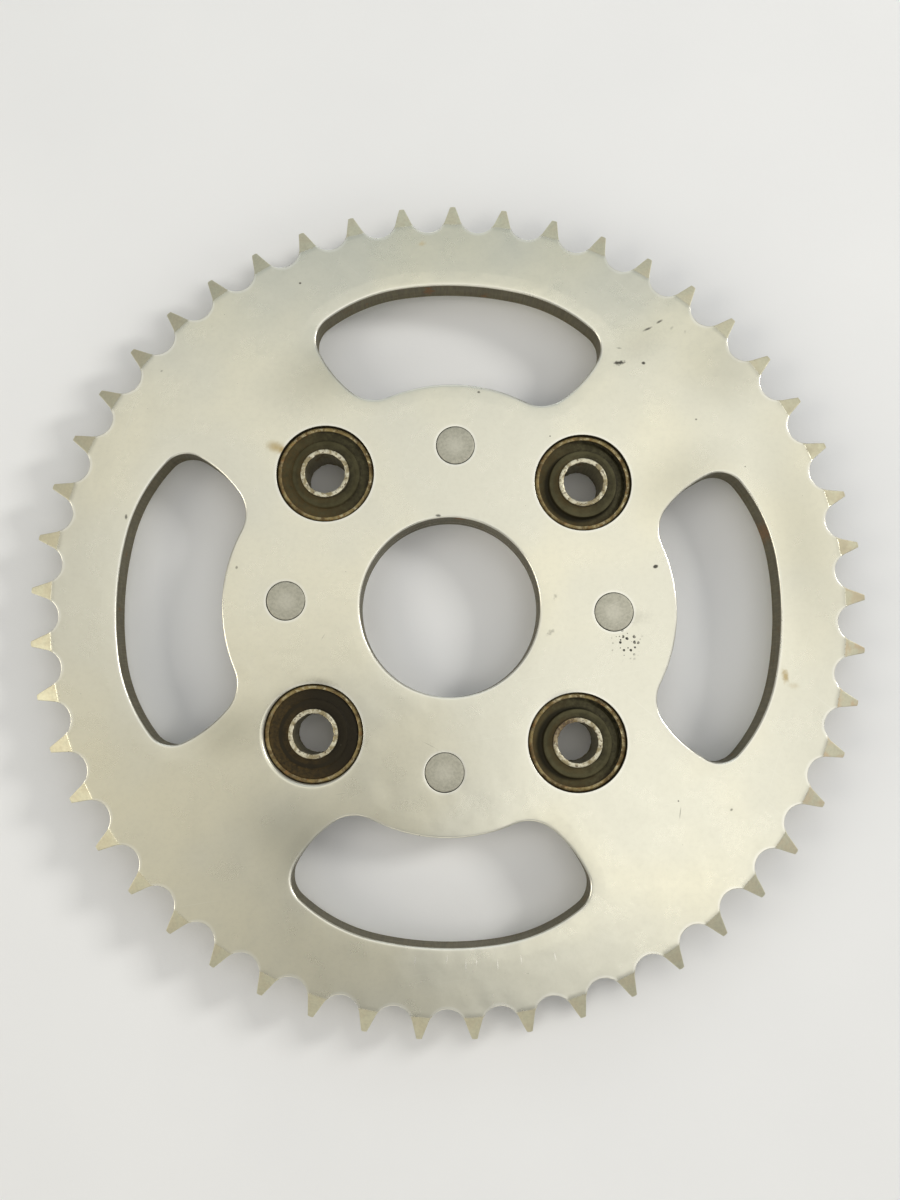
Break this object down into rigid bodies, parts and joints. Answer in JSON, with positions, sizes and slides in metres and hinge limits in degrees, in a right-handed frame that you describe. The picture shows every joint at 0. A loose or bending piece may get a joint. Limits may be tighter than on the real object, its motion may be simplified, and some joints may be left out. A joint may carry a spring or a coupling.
{
  "type": "rear sprocket",
  "caption": "Toothed steel rear sprocket with bean-shaped slots, a large centre hole, a riveted backing plate and rubber bushes with steel sleeves for the hub bolts.",
  "frame": {"origin": "on the sprocket's axis, in the plane where the rear ends of the four inner sleeves seat on the hub", "axes": "+Z out of the hub along the sprocket's axis, towards the outer face; +X and +Y each run through the middle of a slot and a rivet, with the bushes on the diagonals"},
  "size_m": [0.2048, 0.2049, 0.0122],
  "materials": {
    "plate_steel": "zinc-plated steel, satin, with fine scratches and a few scuffs",
    "backing_steel": "zinc-plated steel, satin, a little duller than the plate",
    "rivet_steel": "plain steel, matt, hammered flush",
    "outer_sleeve_steel": "plain steel with brown surface rust and bright flecks",
    "inner_sleeve_steel": "plain steel, worn bright and rough on its ends",
    "bush_rubber": "black moulded rubber, matt and dusty"
  },
  "bodies": {
    "sprocket": {"sprocket_plate": "plate_steel", "backing_plate": "backing_steel", "rivet_right": "rivet_steel", "rivet_top": "rivet_steel", "rivet_left": "rivet_steel", "rivet_bottom": "rivet_steel", "bush_outer_sleeve_upper_right": "outer_sleeve_steel", "bush_outer_sleeve_upper_left": "outer_sleeve_steel", "bush_outer_sleeve_lower_left": "outer_sleeve_steel", "bush_outer_sleeve_lower_right": "outer_sleeve_steel", "bush_rubber_upper_right": "bush_rubber", "bush_rubber_upper_left": "bush_rubber", "bush_rubber_lower_left": "bush_rubber", "bush_rubber_lower_right": "bush_rubber"},
    "sleeve_upper_right": {"bush_inner_sleeve_upper_right": "inner_sleeve_steel"},
    "sleeve_upper_left": {"bush_inner_sleeve_upper_left": "inner_sleeve_steel"},
    "sleeve_lower_left": {"bush_inner_sleeve_lower_left": "inner_sleeve_steel"},
    "sleeve_lower_right": {"bush_inner_sleeve_lower_right": "inner_sleeve_steel"}
  },
  "joints": [
    {"name": "cush_twist_upper_right", "type": "hinge", "parent": "sprocket", "child": "sleeve_upper_right", "pos_m": [0, 0, 0], "axis": [0, 0, 1], "range_deg": [-1.4, 1.4], "stiffness_Nm_per_rad": 600, "deforming": ["bush_rubber_upper_right"]},
    {"name": "cush_twist_upper_left", "type": "hinge", "parent": "sprocket", "child": "sleeve_upper_left", "pos_m": [0, 0, 0], "axis": [0, 0, 1], "range_deg": [-1.4, 1.4], "stiffness_Nm_per_rad": 600, "deforming": ["bush_rubber_upper_left"]},
    {"name": "cush_twist_lower_left", "type": "hinge", "parent": "sprocket", "child": "sleeve_lower_left", "pos_m": [0, 0, 0], "axis": [0, 0, 1], "range_deg": [-1.4, 1.4], "stiffness_Nm_per_rad": 600, "deforming": ["bush_rubber_lower_left"]},
    {"name": "cush_twist_lower_right", "type": "hinge", "parent": "sprocket", "child": "sleeve_lower_right", "pos_m": [0, 0, 0], "axis": [0, 0, 1], "range_deg": [-1.4, 1.4], "stiffness_Nm_per_rad": 600, "deforming": ["bush_rubber_lower_right"]}
  ],
  "couplings": [
    {"joint": "cush_twist_upper_left", "follows": "cush_twist_upper_right", "ratio": 1},
    {"joint": "cush_twist_lower_left", "follows": "cush_twist_upper_right", "ratio": 1},
    {"joint": "cush_twist_lower_right", "follows": "cush_twist_upper_right", "ratio": 1}
  ]
}
